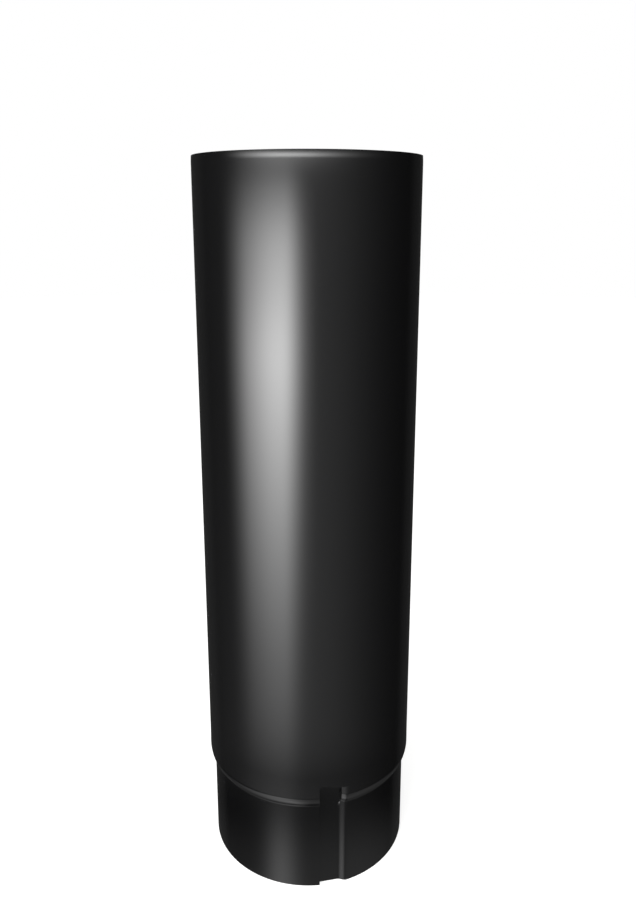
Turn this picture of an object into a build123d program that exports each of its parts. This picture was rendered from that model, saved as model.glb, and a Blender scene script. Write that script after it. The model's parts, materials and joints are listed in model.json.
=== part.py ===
from build123d import *
import math
import os

# Round rainwater downpipe, stood on its spigot end, in millimetres. The origin is the middle of
# the spigot's free edge, +Z runs up the pipe and -Y is the side with the pressed groove.

# The pipe: one coated steel sheet, rolled round, with its lower end swaged down to a spigot
outer_diameter = 90.0     # outside of the body
sheet = 0.6               # thickness of the coated sheet
overall_length = 300.0    # from the spigot's free edge to the socket rim
spigot_length = 39.2      # from its free edge to where the shoulder begins to turn out
spigot_step = 2.0         # how far the spigot is swaged in from the body, on the radius
shoulder_bend = 0.4       # outside radius where the spigot turns out into the shoulder
shoulder_round = 8.0      # outside radius where the shoulder turns up into the body
shoulder_swell = 0.12     # how far swaging leaves the foot of the body standing out
swell_height = 9.0        # from the shoulder's top to where the swell has died away

# The groove pressed into the spigot, which runs up through the shoulder into the body
groove_floor_width = 7.3     # flat floor, before its corners are rounded
groove_depth = 1.85          # from the spigot's surface to the floor
groove_run_up = 9.8          # from the end of the spigot's straight wall to the groove's top end
groove_steep_lean = 10.0     # degrees that the wall on the -X side leans out
groove_gentle_lean = 35.0    # degrees that the wall on the +X side leans out
groove_steep_round = 0.6     # where the floor turns up into the steep wall
groove_gentle_round = 1.4    # where the floor turns up into the gentle wall
groove_end_round = 0.55      # where the floor turns out to the top end
groove_lip_round = 1.1       # where the walls turn out into the pipe's surface

body_radius = outer_diameter / 2
spigot_radius = body_radius - spigot_step
floor_distance = spigot_radius - groove_depth
cut_past = 2.0               # how far each cutting shape runs past the metal that it cuts

# The shoulder is two arcs that meet tangent, and its round runs on into the swell's slope
swell_slope = math.atan(shoulder_swell / swell_height)
round_centre = body_radius + shoulder_swell - shoulder_round * math.cos(swell_slope)
bend_centre = spigot_radius + shoulder_bend
shoulder_turn = math.acos((bend_centre - round_centre) / (shoulder_bend + shoulder_round))
shoulder_top = spigot_length + (shoulder_bend + shoulder_round) * math.sin(shoulder_turn)
swell_foot = shoulder_top + shoulder_round * math.sin(swell_slope)
swell_top = swell_foot + swell_height


def turned_form(inset, past_ends):
    """Body, shoulder and spigot turned about the pipe's axis, set in by inset."""
    spigot = spigot_radius - inset
    body = body_radius - inset
    low, high = -past_ends, overall_length + past_ends
    turn, rise = math.degrees(shoulder_turn), math.degrees(swell_slope)
    with BuildPart() as form:
        with BuildSketch(Plane.XZ):
            with BuildLine():
                straight = Line((spigot, low), (spigot, spigot_length))
                CenterArc((bend_centre, spigot_length), shoulder_bend + inset, 180, -turn)
                shoulder = CenterArc(
                    (round_centre, shoulder_top), shoulder_round - inset, -turn, turn + rise
                )
                Polyline(
                    shoulder @ 1, (body, swell_top), (body, high), (0, high), (0, low),
                    straight @ 0,
                )
            make_face()
        revolve(axis=Axis.Z)
    return form.part


def groove_form(inset):
    """Solid that fills the groove, grown by inset: steep left wall, gentle right wall."""
    left, right = -groove_floor_width / 2, groove_floor_width / 2
    outward = body_radius + cut_past - floor_distance
    steep = outward * math.tan(math.radians(groove_steep_lean))
    gentle = outward * math.tan(math.radians(groove_gentle_lean))
    top = spigot_length + groove_run_up + inset
    with BuildPart() as form:
        with BuildSketch(Plane.XY.offset(-cut_past)) as plan:
            with BuildLine():
                Polyline(
                    (left, -floor_distance), (right, -floor_distance),
                    (right + gentle, -floor_distance - outward),
                    (left - steep, -floor_distance - outward),
                    close=True,
                )
            make_face()
            inner = plan.vertices().group_by(Axis.Y)[-1].sort_by(Axis.X)
            fillet(inner[0], radius=groove_steep_round)
            fillet(inner[-1], radius=groove_gentle_round)
            if inset > 0:
                offset(amount=inset)
        extrude(amount=cut_past + top)
        floor_face = form.faces().filter_by(Axis.Y).sort_by(Axis.Y)[-1]
        end_edges = form.faces().sort_by(Axis.Z)[-1].edges() & floor_face.edges()
        fillet(end_edges, radius=groove_end_round + inset)
    return form.part


def pipe_form(inset, past_ends):
    """The pipe's outside as a solid, or its hollow when set in by the sheet."""
    with BuildPart() as form:
        add(turned_form(inset, past_ends))
        add(groove_form(inset), mode=Mode.SUBTRACT)
        lips = form.edges().filter_by(Axis.Z).filter_by(
            lambda edge: edge.center().Y < -floor_distance
            and abs(math.hypot(edge.center().X, edge.center().Y) - spigot_radius + inset) < 0.01
        )
        fillet(lips, radius=groove_lip_round - inset)
    return form.part


outside = pipe_form(0.0, 0.0)
hollow = pipe_form(sheet, cut_past)

with BuildPart() as downpipe:
    add(outside)
    add(hollow, mode=Mode.SUBTRACT)

downpipe.part.label = "downpipe"
os.makedirs("parts", exist_ok=True)
export_step(downpipe.part, "parts/downpipe.step")
print("volume", round(downpipe.part.volume, 1), "solids", len(downpipe.part.solids()))
print("shoulder top", round(shoulder_top, 2), "swell top", round(swell_top, 2))
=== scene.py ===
"""A short round rainwater downpipe in black coil-coated steel, dressed around its CAD frame."""
import json
import math

import bpy
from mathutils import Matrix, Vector


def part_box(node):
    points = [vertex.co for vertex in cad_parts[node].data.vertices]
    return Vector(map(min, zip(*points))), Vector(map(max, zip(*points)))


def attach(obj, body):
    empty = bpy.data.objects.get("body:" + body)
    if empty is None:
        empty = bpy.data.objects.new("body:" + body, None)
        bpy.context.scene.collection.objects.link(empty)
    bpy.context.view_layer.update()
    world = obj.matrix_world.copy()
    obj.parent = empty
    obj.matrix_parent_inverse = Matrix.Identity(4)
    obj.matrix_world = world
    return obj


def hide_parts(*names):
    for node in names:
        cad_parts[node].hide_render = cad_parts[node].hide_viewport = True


bl_info = {
    "name": "Round Downpipe",
    "version": (1, 0, 0),
    "blender": (4, 5, 0),
    "location": "View3D > Sidebar > Downpipe",
    "description": "Makes a swaged round downpipe with a pressed spigot groove, and its stage",
    "category": "Add Mesh",
}

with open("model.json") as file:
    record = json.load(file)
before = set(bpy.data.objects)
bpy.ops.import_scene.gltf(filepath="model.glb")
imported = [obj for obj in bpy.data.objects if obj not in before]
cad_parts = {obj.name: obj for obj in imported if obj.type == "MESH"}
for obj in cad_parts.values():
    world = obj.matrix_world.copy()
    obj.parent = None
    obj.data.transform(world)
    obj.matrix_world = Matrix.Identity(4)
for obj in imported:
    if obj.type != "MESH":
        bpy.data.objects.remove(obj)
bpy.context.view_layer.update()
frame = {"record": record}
MM = 0.001
NODE = "downpipe"

# Sizes that the frame gives: the pipe's mounts hold its radii, and its box holds its length.
MOUNTS = {mount["name"]: mount for mount in frame["record"]["mounts"]}
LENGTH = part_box(NODE)[1].z
BODY_RADIUS = MOUNTS["bracket_seat"]["dims"]["r_mm"] * MM
BORE_RADIUS = MOUNTS["socket"]["dims"]["r_mm"] * MM
SPIGOT_RADIUS = MOUNTS["spigot"]["dims"]["r_mm"] * MM
SPIGOT_LENGTH = MOUNTS["spigot"]["dims"]["length_mm"] * MM

# The sheet's lines: how many run up it and across it, and how far they stand close together
# inside and outside the ends of the groove's floor.
COLUMNS = 300
ROWS = 150
STEEP_CLOSE = (0.6 * MM, 2.4 * MM)
GENTLE_CLOSE = (1.6 * MM, 5.4 * MM)
CREASE_CATCH = 0.08 * MM     # a line that passes this near the crease is laid on it
SEAM_CATCH = 0.002 * MM      # points this near each other are the same one
SHARP_FROM = math.radians(32.0)
SOFT_REACH = 2.0             # how far a smooth union reaches, in sizes of the round it makes


def linear(hex_colour):
    """The linear RGBA of an sRGB hex colour such as "1A1B1C"."""
    parts = [int(hex_colour[i:i + 2], 16) / 255 for i in (0, 2, 4)]
    return [c / 12.92 if c <= 0.04045 else ((c + 0.055) / 1.055) ** 2.4 for c in parts] + [1.0]


def length_of(name, default, description):
    """A length property in metres, shown to a hundredth of a millimetre."""
    return bpy.props.FloatProperty(
        name=name, description=description, default=default, min=0.0,
        subtype="DISTANCE", unit="LENGTH", precision=5,
    )


def angle_of(name, degrees, description):
    """An angle property, given in degrees."""
    return bpy.props.FloatProperty(
        name=name, description=description, default=math.radians(degrees),
        subtype="ANGLE", unit="ROTATION",
    )


def colour_of(name, hex_colour, description):
    """A colour property whose default is an sRGB hex colour."""
    return bpy.props.FloatVectorProperty(
        name=name, description=description, default=linear(hex_colour), size=4,
        min=0.0, max=1.0, subtype="COLOR",
    )


class DownpipeSizes(bpy.types.PropertyGroup):
    """Sizes of the pipe that the frame's mounts don't state."""

    shoulder_round: length_of("Shoulder round", 8.0 * MM, "Radius where it turns up to the body")
    swell: length_of("Swell", 0.06 * MM, "How far the foot of the body stands out")
    swell_height: length_of("Swell height", 9.0 * MM, "Height over which the swell dies away")
    floor_half: length_of("Floor half width", 3.65 * MM, "Half the width of the groove's floor")
    groove_depth: length_of("Groove depth", 1.95 * MM, "From the spigot's surface to the floor")
    groove_run_up: length_of("Groove run-up", 9.5 * MM, "From the straight spigot to its top")
    end_tilt: bpy.props.FloatProperty(
        name="End tilt", description="How far the groove's top end drops per width towards +X",
        default=0.19)
    end_corner: length_of("End corner", 1.2 * MM, "Radius in plan where its top end turns down")
    steep_lean: angle_of("Steep wall", 10.5, "How far the -X wall and the top end lean out")
    steep_floor: length_of("Steep floor round", 0.9 * MM, "How softly the floor meets them")
    steep_lip: length_of("Steep lip round", 0.4 * MM, "How softly they meet the pipe")
    gentle_lean: angle_of("Gentle wall", 63.0, "How far the wall on the +X side leans out")
    gentle_reach: length_of("Gentle reach", 7.2 * MM, "Where it meets the pipe, from the middle")
    gentle_floor: length_of("Gentle floor round", 0.6 * MM, "How softly the floor meets it")
    gentle_lip: length_of("Gentle lip round", 0.45 * MM, "How softly it meets the pipe")
    notch_half: length_of("Notch half width", 5.1 * MM, "Where the floor ends past the shoulder")
    notch_lean: angle_of("Notch wall", 2.0, "How far the wall there leans out")
    rim_round: length_of("Rim draw-in", 0.12 * MM, "How far the cut socket rim draws in")
    rim_reach: length_of("Rim reach", 3.4 * MM, "Height over which the rim draws in")


class DownpipeFinish(bpy.types.PropertyGroup):
    """Colours of the coating, of the sheet's cut edge and of the floor."""

    coating: colour_of("Coating", "060607", "Black coil coating")
    cut_steel: colour_of("Cut edge", "7B7F82", "Sheared zinc-coated steel between the coats")
    floor: colour_of("Floor", "F2F2F0", "Pale studio floor")
    coat_roughness: bpy.props.FloatProperty(
        name="Coat roughness", description="Roughness of the coating", default=0.11,
        min=0.0, max=1.0, subtype="FACTOR",
    )


def add_node(tree, kind, label="", inputs=None, **settings):
    """Adds one node: settings are its attributes, inputs its values or the sockets that feed it."""
    node = tree.nodes.new(kind)
    node.label = label
    for name, value in settings.items():
        setattr(node, name, value)
    for key, value in (inputs or {}).items():
        if isinstance(value, bpy.types.NodeSocket):
            tree.links.new(value, node.inputs[key])
        else:
            node.inputs[key].default_value = value
    return node


def math_node(tree, operation, *values, label=""):
    """The output of a maths node fed with values or sockets."""
    inputs = dict(enumerate(values))
    return add_node(tree, "ShaderNodeMath", label, inputs, operation=operation).outputs[0]


def make_object(name, mesh):
    """Links a new object at the origin that holds mesh."""
    made = bpy.data.objects.new(name, mesh)
    bpy.context.scene.collection.objects.link(made)
    return made


def material_output(material):
    """Clears a material's node tree and returns the tree and its output node."""
    material.use_nodes = True
    tree = material.node_tree
    tree.nodes.clear()
    return tree, add_node(tree, "ShaderNodeOutputMaterial")


def noise(tree, label, place, across, detail, roughness):
    """A noise whose features are this far across, in metres."""
    return add_node(
        tree, "ShaderNodeTexNoise", label,
        {"Vector": place, "Scale": 1.0 / across, "Detail": detail, "Roughness": roughness},
    ).outputs["Fac"]


def coil_coating(finish):
    """Black polyester coil coating on galvanised sheet, roller-applied and stove-cured. Its
    surface mirrors softly, with a faint orange peel over the long waves of the rolled sheet."""
    material = bpy.data.materials.new("black_polyester_coil_coating_roller_applied")
    tree, output = material_output(material)
    place = add_node(tree, "ShaderNodeTexCoord").outputs["Object"]
    peel = noise(tree, "orange peel", place, 2.0 * MM, 1.0, 0.4)
    waves = noise(tree, "rolled sheet waves", place, 40.0 * MM, 0.0, 0.5)
    fine = add_node(
        tree, "ShaderNodeBump", "orange peel",
        {"Height": peel, "Strength": 0.10, "Distance": 0.01 * MM},
    )
    bump = add_node(
        tree, "ShaderNodeBump", "sheet waves",
        {"Height": waves, "Strength": 0.2, "Distance": 0.05 * MM,
         "Normal": fine.outputs["Normal"]},
    )
    gloss_spread = 0.015
    mottle = add_node(
        tree, "ShaderNodeMapRange", "gloss varies with the film's thickness",
        {"Value": waves, "From Min": 0.3, "From Max": 0.7,
         "To Min": finish.coat_roughness - gloss_spread,
         "To Max": finish.coat_roughness + gloss_spread},
    )
    thin_film = [c * 1.25 for c in finish.coating[:3]] + [1.0]
    shade = add_node(
        tree, "ShaderNodeMix", "coating colour",
        {"Factor": waves, "A": finish.coating, "B": thin_film}, data_type="RGBA",
    )
    surface = add_node(
        tree, "ShaderNodeBsdfPrincipled", "stoved polyester",
        {"Base Color": shade.outputs[2], "Roughness": mottle.outputs["Result"], "IOR": 1.5,
         "Metallic": 0.0, "Normal": bump.outputs["Normal"]},
    )
    tree.links.new(surface.outputs["BSDF"], output.inputs["Surface"])
    return material


def cut_sheet_edge(finish):
    """Sheared edge of zinc-coated steel sheet: bare grey metal, mottled by the shear."""
    material = bpy.data.materials.new("galvanised_steel_sheet_edge_sheared")
    tree, output = material_output(material)
    place = add_node(tree, "ShaderNodeTexCoord").outputs["Object"]
    marks = noise(tree, "shear marks", place, 0.4 * MM, 3.0, 0.6)
    dull = [c * 0.55 for c in finish.cut_steel[:3]] + [1.0]
    tone = add_node(
        tree, "ShaderNodeMix", "bright and dull steel",
        {"Factor": marks, "A": dull, "B": finish.cut_steel}, data_type="RGBA",
    )
    surface = add_node(
        tree, "ShaderNodeBsdfPrincipled", "sheared steel",
        {"Base Color": tone.outputs[2], "Metallic": 1.0, "Roughness": 0.42},
    )
    tree.links.new(surface.outputs["BSDF"], output.inputs["Surface"])
    return material


def shoulder_shape(sizes):
    """Where the shoulder's round and the swell lie: radii and heights in metres."""
    slope = math.atan(2 * sizes.swell / sizes.swell_height)
    round_centre = BODY_RADIUS + sizes.swell - sizes.shoulder_round * math.cos(slope)
    turn = math.acos((SPIGOT_RADIUS - round_centre) / sizes.shoulder_round)
    centre_height = SPIGOT_LENGTH + sizes.shoulder_round * math.sin(turn)
    foot = centre_height + sizes.shoulder_round * math.sin(slope)
    return {"round_centre": round_centre, "centre_height": centre_height, "foot": foot,
            "top": foot + sizes.swell_height}


def spacing_curve(tree, fraction, label, stops, end):
    """Maps an even 0 to 1 run on to stops of (share of the lines, place), up to end."""
    node = add_node(tree, "ShaderNodeFloatCurve", label, {"Value": fraction})
    curve = node.mapping.curves[0]
    low = stops[0][1]
    points = [(share, (place - low) / (end - low)) for share, place in stops] + [(1.0, 1.0)]
    for point, (x, y) in zip(curve.points, (points[0], points[-1])):
        point.location = (x, y)
    for x, y in points[1:-1]:
        curve.points.new(x, y)
    for point in curve.points:
        point.handle_type = "VECTOR"
    node.mapping.update()
    scaled = math_node(tree, "MULTIPLY", node.outputs[0], end - low)
    return math_node(tree, "ADD", scaled, low, label=label)


def turned_radius(tree, height, value, shape):
    """Radius of the turned outside at a height: spigot, shoulder, swell, body and rim."""
    def squared(socket):
        return math_node(tree, "MULTIPLY", socket, socket)

    under = math_node(tree, "MINIMUM", height, shape["foot"])
    drop = math_node(tree, "SUBTRACT", shape["centre_height"], under)
    round_left = math_node(
        tree, "SUBTRACT", squared(value["Shoulder round"]), squared(drop)
    )
    round_part = math_node(tree, "SQRT", math_node(tree, "MAXIMUM", round_left, 0.0))
    rounded = math_node(tree, "ADD", shape["round_centre"], round_part, label="shoulder round")
    left = add_node(
        tree, "ShaderNodeMapRange", "share of the swell left",
        {"Value": height, "From Min": shape["foot"], "From Max": shape["top"],
         "To Min": 1.0, "To Max": 0.0},
    ).outputs["Result"]
    fade = math_node(tree, "MULTIPLY", value["Swell"],
                     math_node(tree, "SUBTRACT", squared(left), 1.0), label="swell dies away")
    rim = add_node(
        tree, "ShaderNodeMapRange", "how far into the rim",
        {"Value": height, "To Min": 0.0, "To Max": 1.0, "From Max": LENGTH,
         "From Min": math_node(tree, "SUBTRACT", LENGTH, value["Rim reach"])},
    ).outputs["Result"]
    draw_in = math_node(tree, "MULTIPLY", squared(rim), value["Rim draw-in"])
    body = math_node(tree, "SUBTRACT", math_node(tree, "ADD", rounded, fade), draw_in)
    just_past = SPIGOT_LENGTH + 0.001 * MM
    is_body = math_node(tree, "GREATER_THAN", height, just_past)
    return add_node(
        tree, "GeometryNodeSwitch", "shoulder or spigot",
        {"Switch": is_body, "False": SPIGOT_RADIUS, "True": body}, input_type="FLOAT",
    ).outputs[0]


def groove_distance(tree, across, height, radius, value):
    """How far the groove's surface stands off the plane X-Z, and how soft its lips are. The
    +X wall is gentle, and in the shoulder a steep step joins it to the wider floor."""
    def wall(start, lean):
        return math_node(tree, "DIVIDE", start, math_node(tree, "TANGENT", lean))

    half = value["Floor half width"]
    left = math_node(tree, "SUBTRACT", math_node(tree, "MULTIPLY", across, -1.0), half)
    top = math_node(tree, "ADD", value["Groove run-up"], SPIGOT_LENGTH)
    tilted = math_node(tree, "MULTIPLY", across, value["End tilt"])
    above = math_node(tree, "ADD", math_node(tree, "SUBTRACT", height, top), tilted)
    corner = math_node(tree, "MULTIPLY", value["End corner"], SOFT_REACH)
    outside = math_node(tree, "SMOOTH_MAX", left, above, corner, label="-X side and top end")
    steep = math_node(tree, "SMOOTH_MAX", 0.0, wall(outside, value["Steep wall"]),
                      value["Steep floor round"], label="steep wall")
    floor = math_node(tree, "SUBTRACT", SPIGOT_RADIUS, value["Groove depth"])
    reach = value["Gentle reach"]
    full = math_node(tree, "SUBTRACT", math_node(tree, "MULTIPLY", radius, radius),
                     math_node(tree, "MULTIPLY", reach, reach))
    meets = math_node(tree, "SUBTRACT", math_node(tree, "SQRT", full), floor)
    gentle = math_node(
        tree, "ADD", meets,
        wall(math_node(tree, "SUBTRACT", across, reach), value["Gentle wall"]),
        label="gentle wall",
    )
    widens_from, widens_to = SPIGOT_LENGTH - 3.0 * MM, SPIGOT_LENGTH + 0.5 * MM
    floor_end = add_node(
        tree, "ShaderNodeMapRange", "floor widens at the shoulder",
        {"Value": height, "From Min": widens_from, "From Max": widens_to, "To Min": half,
         "To Max": value["Notch half width"]},
        interpolation_type="SMOOTHSTEP",
    ).outputs["Result"]
    step = wall(math_node(tree, "SUBTRACT", across, floor_end), value["Notch wall"])
    stepped = math_node(tree, "SMOOTH_MIN", gentle, step, value["Gentle lip round"],
                        label="gentle wall and step")
    rise = math_node(tree, "SMOOTH_MAX", steep, stepped, value["Gentle floor round"])
    change_over = 1.0 * MM
    lip = add_node(
        tree, "ShaderNodeMapRange", "lip of each side",
        {"Value": across, "From Min": -change_over, "From Max": change_over,
         "To Min": value["Steep lip round"], "To Max": value["Gentle lip round"]},
    ).outputs["Result"]
    return math_node(tree, "ADD", rise, floor, label="groove"), lip


PIPE_INPUTS = (
    ("Shoulder round", "shoulder_round"), ("Swell", "swell"),
    ("Floor half width", "floor_half"), ("Groove depth", "groove_depth"),
    ("Groove run-up", "groove_run_up"), ("End tilt", "end_tilt"), ("End corner", "end_corner"),
    ("Steep wall", "steep_lean"), ("Steep floor round", "steep_floor"),
    ("Steep lip round", "steep_lip"), ("Gentle wall", "gentle_lean"),
    ("Gentle reach", "gentle_reach"), ("Gentle floor round", "gentle_floor"),
    ("Gentle lip round", "gentle_lip"), ("Notch half width", "notch_half"),
    ("Notch wall", "notch_lean"), ("Rim draw-in", "rim_round"), ("Rim reach", "rim_reach"),
)


def sheet_angle(tree, along, sizes):
    """Angle round the pipe of each line that runs up it, from -pi to pi."""
    def angle_at(across):
        return math.asin(across / BODY_RADIUS)

    half = sizes.floor_half
    stops = [
        (0.0, -math.pi),
        (0.22, -angle_at(half + STEEP_CLOSE[1])),
        (0.45, -angle_at(half - STEEP_CLOSE[0])),
        (0.48, angle_at(half - GENTLE_CLOSE[0])),
        (0.76, angle_at(half + GENTLE_CLOSE[1])),
    ]
    return spacing_curve(tree, along, "angle round the pipe", stops, math.pi)


def sheet_height(tree, up, sizes, shape):
    """Height of each line that runs round the pipe, with one of them laid on the crease."""
    groove_top = SPIGOT_LENGTH + sizes.groove_run_up
    stops = [
        (0.0, 0.0),
        (0.03, SPIGOT_LENGTH - 10.0 * MM),   # where the lines begin to gather
        (0.1, SPIGOT_LENGTH - 0.8 * MM),     # just under the crease
        (0.47, shape["foot"] + 1.5 * MM),    # past the shoulder's round
        (0.54, groove_top - 1.0 * MM),       # just under the groove's top end
        (0.85, groove_top + 2.5 * MM),       # past its lip
        (0.91, shape["top"] + 1.0 * MM),     # past the swell
        (0.94, LENGTH - sizes.rim_reach),    # where the rim begins to draw in
    ]
    height = spacing_curve(tree, up, "height up the pipe", stops, LENGTH)
    at_crease = math_node(tree, "COMPARE", height, SPIGOT_LENGTH, CREASE_CATCH)
    off = math_node(tree, "SUBTRACT", SPIGOT_LENGTH, height)
    return math_node(tree, "ADD", height, math_node(tree, "MULTIPLY", at_crease, off),
                     label="one line on the crease")


def pipe_tree(sizes, coating):
    """Geometry Nodes: one sheet bent to the pipe's rule, with lines gathered at its bends."""
    tree = bpy.data.node_groups.new("swaged_pipe_rule", "GeometryNodeTree")
    for name, _ in PIPE_INPUTS:
        tree.interface.new_socket(name, in_out="INPUT", socket_type="NodeSocketFloat")
    tree.interface.new_socket("Geometry", in_out="OUTPUT", socket_type="NodeSocketGeometry")
    value = {s.name: s for s in add_node(tree, "NodeGroupInput").outputs if s.name}
    shape = shoulder_shape(sizes)
    grid = add_node(
        tree, "GeometryNodeMeshGrid", "flat sheet",
        {"Size X": 1.0, "Size Y": 1.0, "Vertices X": COLUMNS, "Vertices Y": ROWS},
    )
    place = add_node(tree, "GeometryNodeInputPosition").outputs[0]
    sheet = add_node(tree, "ShaderNodeSeparateXYZ", "", {"Vector": place}).outputs
    along = math_node(tree, "ADD", sheet[0], 0.5)
    up = math_node(tree, "ADD", sheet[1], 0.5)
    angle = sheet_angle(tree, along, sizes)
    height = sheet_height(tree, up, sizes, shape)
    radius = turned_radius(tree, height, value, shape)
    across = math_node(tree, "MULTIPLY", radius, math_node(tree, "SINE", angle))
    outward = math_node(tree, "MULTIPLY", radius, math_node(tree, "COSINE", angle))
    groove, lip = groove_distance(tree, across, height, radius, value)
    lip_reach = math_node(tree, "MULTIPLY", lip, SOFT_REACH)
    pressed = math_node(tree, "SMOOTH_MIN", outward, groove, lip_reach, label="groove pressed in")
    bent = add_node(
        tree, "ShaderNodeCombineXYZ", "bent sheet",
        {"X": across, "Y": math_node(tree, "MULTIPLY", pressed, -1.0), "Z": height},
    ).outputs[0]
    moved = add_node(tree, "GeometryNodeSetPosition", "", {"Geometry": grid.outputs["Mesh"],
                                                          "Position": bent})
    closed = add_node(tree, "GeometryNodeMergeByDistance", "seam closed",
                      {"Geometry": moved.outputs[0], "Distance": SEAM_CATCH})
    smooth = add_node(tree, "GeometryNodeSetShadeSmooth", "", {"Geometry": closed.outputs[0]})
    real = add_node(tree, "GeometryNodeRealizeInstances", "", {"Geometry": smooth.outputs[0]})
    finished = add_node(tree, "GeometryNodeSetMaterial", "", {"Geometry": real.outputs[0],
                                                             "Material": coating})
    add_node(tree, "NodeGroupOutput", "", {"Geometry": finished.outputs[0]})
    return tree


def socket_names(tree):
    """The identifier of each input of a tree, by its name."""
    return {item.name: item.identifier for item in tree.interface.items_tree
            if item.item_type == "SOCKET" and item.in_out == "INPUT"}


def plain_mesh(made, name):
    """Replaces an object's modifiers by the mesh that they give."""
    graph = bpy.context.evaluated_depsgraph_get()
    mesh = bpy.data.meshes.new_from_object(made.evaluated_get(graph), depsgraph=graph)
    made.modifiers.clear()
    made.data = mesh
    mesh.name = name
    return mesh


class DownpipeMakePipe(bpy.types.Operator):
    """Make the pipe: one coated sheet with its shoulder, spigot, groove and cut edges"""

    bl_idname = "downpipe.make_pipe"
    bl_label = "Pipe"

    def execute(self, context):
        sizes = context.scene.downpipe_sizes
        finish = context.scene.downpipe_finish
        coating, edge = coil_coating(finish), cut_sheet_edge(finish)
        tree = pipe_tree(sizes, coating)
        pipe = make_object("coated_pipe", bpy.data.meshes.new("coated_pipe"))
        rule = pipe.modifiers.new("Swaged pipe rule", "NODES")
        rule.node_group = tree
        identifiers = socket_names(tree)
        for name, size in PIPE_INPUTS:
            rule[identifiers[name]] = getattr(sizes, size)
        sheet = pipe.modifiers.new("Sheet thickness", "SOLIDIFY")
        sheet.thickness = BODY_RADIUS - BORE_RADIUS
        sheet.offset = -1.0
        sheet.use_even_offset = True
        sheet.material_offset_rim = 1
        pipe.data.materials.append(coating)
        pipe.data.materials.append(edge)
        mesh = plain_mesh(pipe, "coated_pipe")
        if len(mesh.polygons) < COLUMNS * ROWS:
            raise RuntimeError("the pipe's rule made no sheet")
        mesh.set_sharp_from_angle(angle=SHARP_FROM)
        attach(pipe, "root")
        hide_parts(NODE)
        return {"FINISHED"}


# The stage. The camera and the lights stand where the photograph's outline and reflections put
# them. Angles are seen from the pipe: to the right of the camera's side, and above level.
CAMERA_DISTANCE = 336.5 * MM
CAMERA_HEIGHT = 280.6 * MM
CAMERA_SIDE = math.radians(11.24)
CAMERA_YAW = math.radians(0.72)
CAMERA_PITCH = math.radians(13.92)
LENS = 33.04
SENSOR_WIDTH = 36.0
SHIFT_Y = -0.0415
SURROUND_RADIUS = 5.0
FLOOR_RADIUS = 2.5
NEAREST, FARTHEST = 0.01, 100.0
LAMP_PLACE = Vector((-0.5, -0.5, 1.1))
LAMP_AIM = Vector((0.0, 0.0, 0.1))
LAMP_SIZE = 0.8

# The soft panels, in degrees: centre (side, rise), then spread (left, right, down, up), which
# is how far from the centre the light has fallen to 0.6.
UPPER_PANEL = ((-23.3, -3.0), (28.6, 10.8, 7.7, 2.9))
LOWER_PANEL = ((-28.0, -11.2), (26.6, 11.9, 11.7, 3.8))
RIM_STRIP = ((-26.5, 6.7), (23.0, 32.0, 1.2, 1.35))
SIDE_WASH = ((-8.0, -15.0), (50.0, 47.0, 60.0, 60.0))
UNDER_PANEL = ((-30.0, -50.0), (33.0, 14.9, 90.0, 90.0))
UNDER_WASH = ((45.0, -55.0), (86.0, 42.0, 90.0, 90.0))
LOW_STREAK = ((-34.0, -42.9), (13.0, 13.0, 3.0, 1.85))

# Where they are cut off, in degrees: no light at the first angle, all of it at the second.
PANELS_LEFT_EDGE = (-97.8, -59.4)
PANELS_FOOT = (-40.5, -33.5)
SIDE_WASH_FOOT = (-40.0, -35.5)
UNDER_PANEL_HEAD = (-43.0, -47.0)
UNDER_WASH_HEAD = (-38.6, -43.0)
UNDER_FOOT = (-88.0, -62.0)
BEHIND_EDGE = (116.0, 132.0)
CEILING_EDGE = (25.0, 55.0)


class StudioLights(bpy.types.PropertyGroup):
    """Strengths of the soft panels that the pipe mirrors, and of the lamp."""

    upper_panel: bpy.props.FloatProperty(
        name="Upper panel", description="Radiance of the main panel's upper part", default=9.0)
    lower_panel: bpy.props.FloatProperty(
        name="Lower panel", description="Radiance of the main panel's lower part", default=8.8)
    side_wash: bpy.props.FloatProperty(
        name="Side wash", description="Radiance of the wide dim wash to the right", default=0.67)
    strip: bpy.props.FloatProperty(
        name="Strip", description="Radiance of the strip that the rim catches", default=13.6)
    under_panel: bpy.props.FloatProperty(
        name="Under panel", description="Radiance of the low panel that the shoulder mirrors",
        default=1.2)
    low_streak: bpy.props.FloatProperty(
        name="Low streak", description="Radiance of the streak that the spigot mirrors",
        default=1.17)
    under_wash: bpy.props.FloatProperty(
        name="Under wash", description="Radiance of the dim wash beside the low panel",
        default=0.40)
    behind: bpy.props.FloatProperty(
        name="Behind", description="Radiance of the set behind the pipe", default=0.022)
    top: bpy.props.FloatProperty(
        name="Top", description="Radiance of the ceiling over the open end", default=0.5)
    cloth: bpy.props.FloatProperty(
        name="Cloth", description="Radiance of the dark cloth between the panels", default=0.012)
    lamp: bpy.props.FloatProperty(
        name="Lamp", description="Power of the soft overhead lamp", default=9.0,
        subtype="POWER", unit="POWER")


def soft_panel(tree, side, rise, strength, panel):
    """A soft-edged patch of light, at the centre and with the spread that panel gives."""
    (centre_side, centre_rise), (left, right, down, up) = panel
    fall = 0.0
    for angle, middle, low, high in (
        (side, centre_side, left, right), (rise, centre_rise, down, up)
    ):
        offset = math_node(tree, "SUBTRACT", angle, math.radians(middle))
        for half, spread in (("MINIMUM", low), ("MAXIMUM", high)):
            part = math_node(tree, "DIVIDE", math_node(tree, half, offset, 0.0),
                             math.radians(spread))
            fall = math_node(tree, "ADD", fall, math_node(tree, "MULTIPLY", part, part))
    glow = math_node(tree, "EXPONENT", math_node(tree, "MULTIPLY", fall, -0.5))
    return math_node(tree, "MULTIPLY", glow, strength, label="soft panel")


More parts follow.
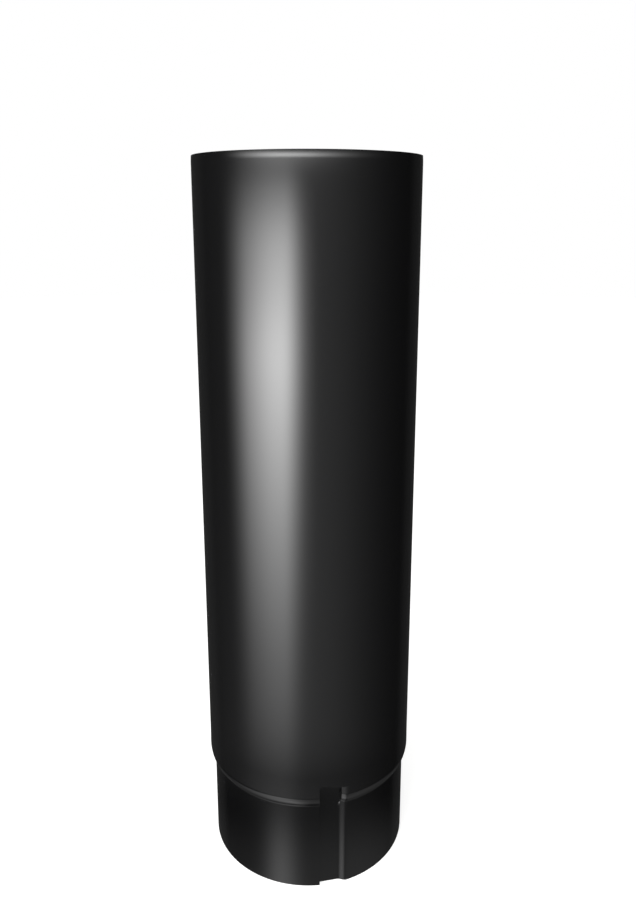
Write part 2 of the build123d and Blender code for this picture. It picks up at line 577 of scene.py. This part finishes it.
def cut_off(tree, value, label, edge):
    """A soft step from 0 at the edge's first angle to 1 at its second."""
    start, end = edge
    return add_node(
        tree, "ShaderNodeMapRange", label,
        {"Value": value, "From Min": math.radians(start), "From Max": math.radians(end)},
        interpolation_type="SMOOTHSTEP",
    ).outputs["Result"]


def surround_material(lights):
    """Dark cloth hung round the set, with soft panels of light in it."""
    material = bpy.data.materials.new("dark_studio_cloth_with_soft_panels")
    tree, output = material_output(material)
    place = add_node(tree, "ShaderNodeTexCoord").outputs["Object"]
    turned = add_node(
        tree, "ShaderNodeVectorRotate", "from the camera's side",
        {"Vector": place, "Angle": CAMERA_SIDE}, rotation_type="Z_AXIS",
    ).outputs[0]
    x, y, z = add_node(tree, "ShaderNodeSeparateXYZ", "", {"Vector": turned}).outputs
    away = math_node(tree, "MULTIPLY", y, -1.0)
    squares = math_node(tree, "ADD", math_node(tree, "MULTIPLY", x, x),
                        math_node(tree, "MULTIPLY", y, y))
    level = math_node(tree, "SQRT", squares)
    side = math_node(tree, "ARCTAN2", x, away)
    # The camera's image in the pipe's wall: from there, all that an upright wall mirrors at one
    # height of the picture lies at one rise.
    lifted = math_node(tree, "SUBTRACT", z, CAMERA_HEIGHT)
    reach = math_node(tree, "ADD", level, CAMERA_DISTANCE - 2 * BODY_RADIUS)
    rise = math_node(tree, "ARCTAN2", lifted, reach)

    def panel(strength, place):
        return soft_panel(tree, side, rise, strength, place)

    def cut(light, angle, label, edge):
        return math_node(tree, "MULTIPLY", light, cut_off(tree, angle, label, edge))

    main = 0.0
    for strength, place in ((lights.upper_panel, UPPER_PANEL), (lights.lower_panel, LOWER_PANEL),
                            (lights.strip, RIM_STRIP)):
        main = math_node(tree, "ADD", main, panel(strength, place))
    main = cut(main, side, "left edge of the panels", PANELS_LEFT_EDGE)
    main = cut(main, rise, "foot of the panels", PANELS_FOOT)
    wash = cut(panel(lights.side_wash, SIDE_WASH), rise, "foot of the wash", SIDE_WASH_FOOT)
    low = cut(panel(lights.under_panel, UNDER_PANEL), rise, "head of the low panel",
              UNDER_PANEL_HEAD)
    beside = cut(panel(lights.under_wash, UNDER_WASH), rise, "head of the low wash",
                 UNDER_WASH_HEAD)
    under = cut(math_node(tree, "ADD", low, beside), rise, "foot of the low panels", UNDER_FOOT)
    streak = panel(lights.low_streak, LOW_STREAK)
    turned_away = math_node(tree, "ABSOLUTE", side)
    behind = cut(lights.behind, turned_away, "behind the pipe", BEHIND_EDGE)
    ceiling = cut(lights.top, rise, "ceiling", CEILING_EDGE)
    light = lights.cloth
    for part in (main, wash, under, streak, behind, ceiling):
        light = math_node(tree, "ADD", light, part)
    glow = add_node(tree, "ShaderNodeEmission", "panels", {"Strength": light})
    tree.links.new(glow.outputs[0], output.inputs["Surface"])
    material.cycles.emission_sampling = "NONE"
    return material


def seen_rays(tree):
    """1 for rays from the camera, off gloss or through glass, and 0 for the rest."""
    path = add_node(tree, "ShaderNodeLightPath").outputs
    direct = math_node(tree, "MAXIMUM", path["Is Camera Ray"], path["Is Glossy Ray"])
    return math_node(tree, "MAXIMUM", direct, path["Is Transmission Ray"])


def floor_material(finish):
    """Matt pale studio floor: white to the eye, with the object's soft shadow on it."""
    material = bpy.data.materials.new("matt_pale_studio_floor_painted")
    tree, output = material_output(material)
    matt = add_node(tree, "ShaderNodeBsdfDiffuse", "matt paint", {"Color": finish.floor})
    lift = 0.72
    white = add_node(tree, "ShaderNodeEmission", "white to the eye",
                     {"Strength": math_node(tree, "MULTIPLY", seen_rays(tree), lift)})
    both = add_node(tree, "ShaderNodeAddShader", "", {0: matt.outputs[0], 1: white.outputs[0]})
    tree.links.new(both.outputs[0], output.inputs["Surface"])
    return material


def disc_mesh(name, radius, sides=96):
    """A flat round floor at the height of the origin."""
    mesh = bpy.data.meshes.new(name)
    ring = [(radius * math.cos(a), radius * math.sin(a), 0.0)
            for a in (2 * math.pi * i / sides for i in range(sides))]
    mesh.from_pydata(ring, [], [list(range(sides))])
    return mesh


def make_world():
    """White to the eye, and a soft grey fill for matt surfaces."""
    world = bpy.data.worlds.new("white_studio")
    world.use_nodes = True
    tree = world.node_tree
    tree.nodes.clear()
    fill = 0.35
    strength = add_node(tree, "ShaderNodeMapRange", "white or fill",
                        {"Value": seen_rays(tree), "To Min": fill, "To Max": 1.0})
    sky = add_node(tree, "ShaderNodeBackground", "",
                   {"Color": (1.0, 1.0, 1.0, 1.0), "Strength": strength.outputs["Result"]})
    add_node(tree, "ShaderNodeOutputWorld", "", {"Surface": sky.outputs[0]})
    bpy.context.scene.world = world


def make_surround(lights):
    """The dark cloth and its panels: only the coating's gloss sees them."""
    bpy.ops.mesh.primitive_uv_sphere_add(radius=SURROUND_RADIUS, segments=64, ring_count=32)
    surround = bpy.context.object
    surround.name = "studio_surround"
    surround.data.materials.append(surround_material(lights))
    surround.visible_camera = False
    surround.visible_diffuse = False
    surround.visible_shadow = False


def make_camera():
    """The camera at the photograph's place, height, lens and framing."""
    data = bpy.data.cameras.new("studio_camera")
    data.lens, data.sensor_width, data.shift_y = LENS, SENSOR_WIDTH, SHIFT_Y
    data.clip_start, data.clip_end = NEAREST, FARTHEST
    camera = bpy.data.objects.new("studio_camera", data)
    bpy.context.scene.collection.objects.link(camera)
    camera.location = (-CAMERA_DISTANCE * math.sin(CAMERA_SIDE),
                       -CAMERA_DISTANCE * math.cos(CAMERA_SIDE), CAMERA_HEIGHT)
    camera.rotation_euler = (math.pi / 2 - CAMERA_PITCH, 0.0, -(CAMERA_SIDE + CAMERA_YAW))
    bpy.context.scene.camera = camera


def make_lamp(lights):
    """One large soft lamp overhead, to the camera's left."""
    data = bpy.data.lights.new("overhead_softbox", "AREA")
    data.energy, data.size = lights.lamp, LAMP_SIZE
    lamp = bpy.data.objects.new("overhead_softbox", data)
    bpy.context.scene.collection.objects.link(lamp)
    lamp.location = LAMP_PLACE
    lamp.rotation_euler = (LAMP_AIM - LAMP_PLACE).to_track_quat("-Z", "Y").to_euler()
    lamp.visible_glossy = False


class DownpipeMakeStage(bpy.types.Operator):
    """Make the stage: pale floor, white surround, soft panels, lamp and camera"""

    bl_idname = "downpipe.make_stage"
    bl_label = "Stage"

    def execute(self, context):
        scene = context.scene
        floor = make_object("studio_floor", disc_mesh("studio_floor", FLOOR_RADIUS))
        floor.data.materials.append(floor_material(scene.downpipe_finish))
        floor.visible_glossy = False
        make_world()
        make_surround(scene.downpipe_lights)
        make_lamp(scene.downpipe_lights)
        make_camera()
        scene.view_settings.view_transform = "Standard"
        return {"FINISHED"}


class DownpipePanel(bpy.types.Panel):
    """Lists the pipe's sizes, finish and lights, with a button for each operator"""

    bl_idname = "VIEW3D_PT_downpipe"
    bl_label = "Downpipe"
    bl_space_type = "VIEW_3D"
    bl_region_type = "UI"
    bl_category = "Downpipe"

    def draw(self, context):
        for group in (context.scene.downpipe_sizes, context.scene.downpipe_finish,
                      context.scene.downpipe_lights):
            box = self.layout.box()
            for name in group.__annotations__:
                box.prop(group, name)
        for operator in OPERATORS:
            self.layout.operator(operator.bl_idname)


GROUPS = {"downpipe_sizes": DownpipeSizes, "downpipe_finish": DownpipeFinish,
          "downpipe_lights": StudioLights}
OPERATORS = (DownpipeMakePipe, DownpipeMakeStage)


def register():
    """Registers the groups, operators and panel."""
    for name, group in GROUPS.items():
        bpy.utils.register_class(group)
        setattr(bpy.types.Scene, name, bpy.props.PointerProperty(type=group))
    for made in (*OPERATORS, DownpipePanel):
        bpy.utils.register_class(made)


def unregister():
    """Takes them all away again."""
    for made in (DownpipePanel, *reversed(OPERATORS)):
        bpy.utils.unregister_class(made)
    for name, group in GROUPS.items():
        delattr(bpy.types.Scene, name)
        bpy.utils.unregister_class(group)


def main():
    """Makes the pipe and its stage."""
    register()
    bpy.ops.downpipe.make_pipe()
    bpy.ops.downpipe.make_stage()
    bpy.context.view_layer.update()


if __name__ == "__main__":
    main()
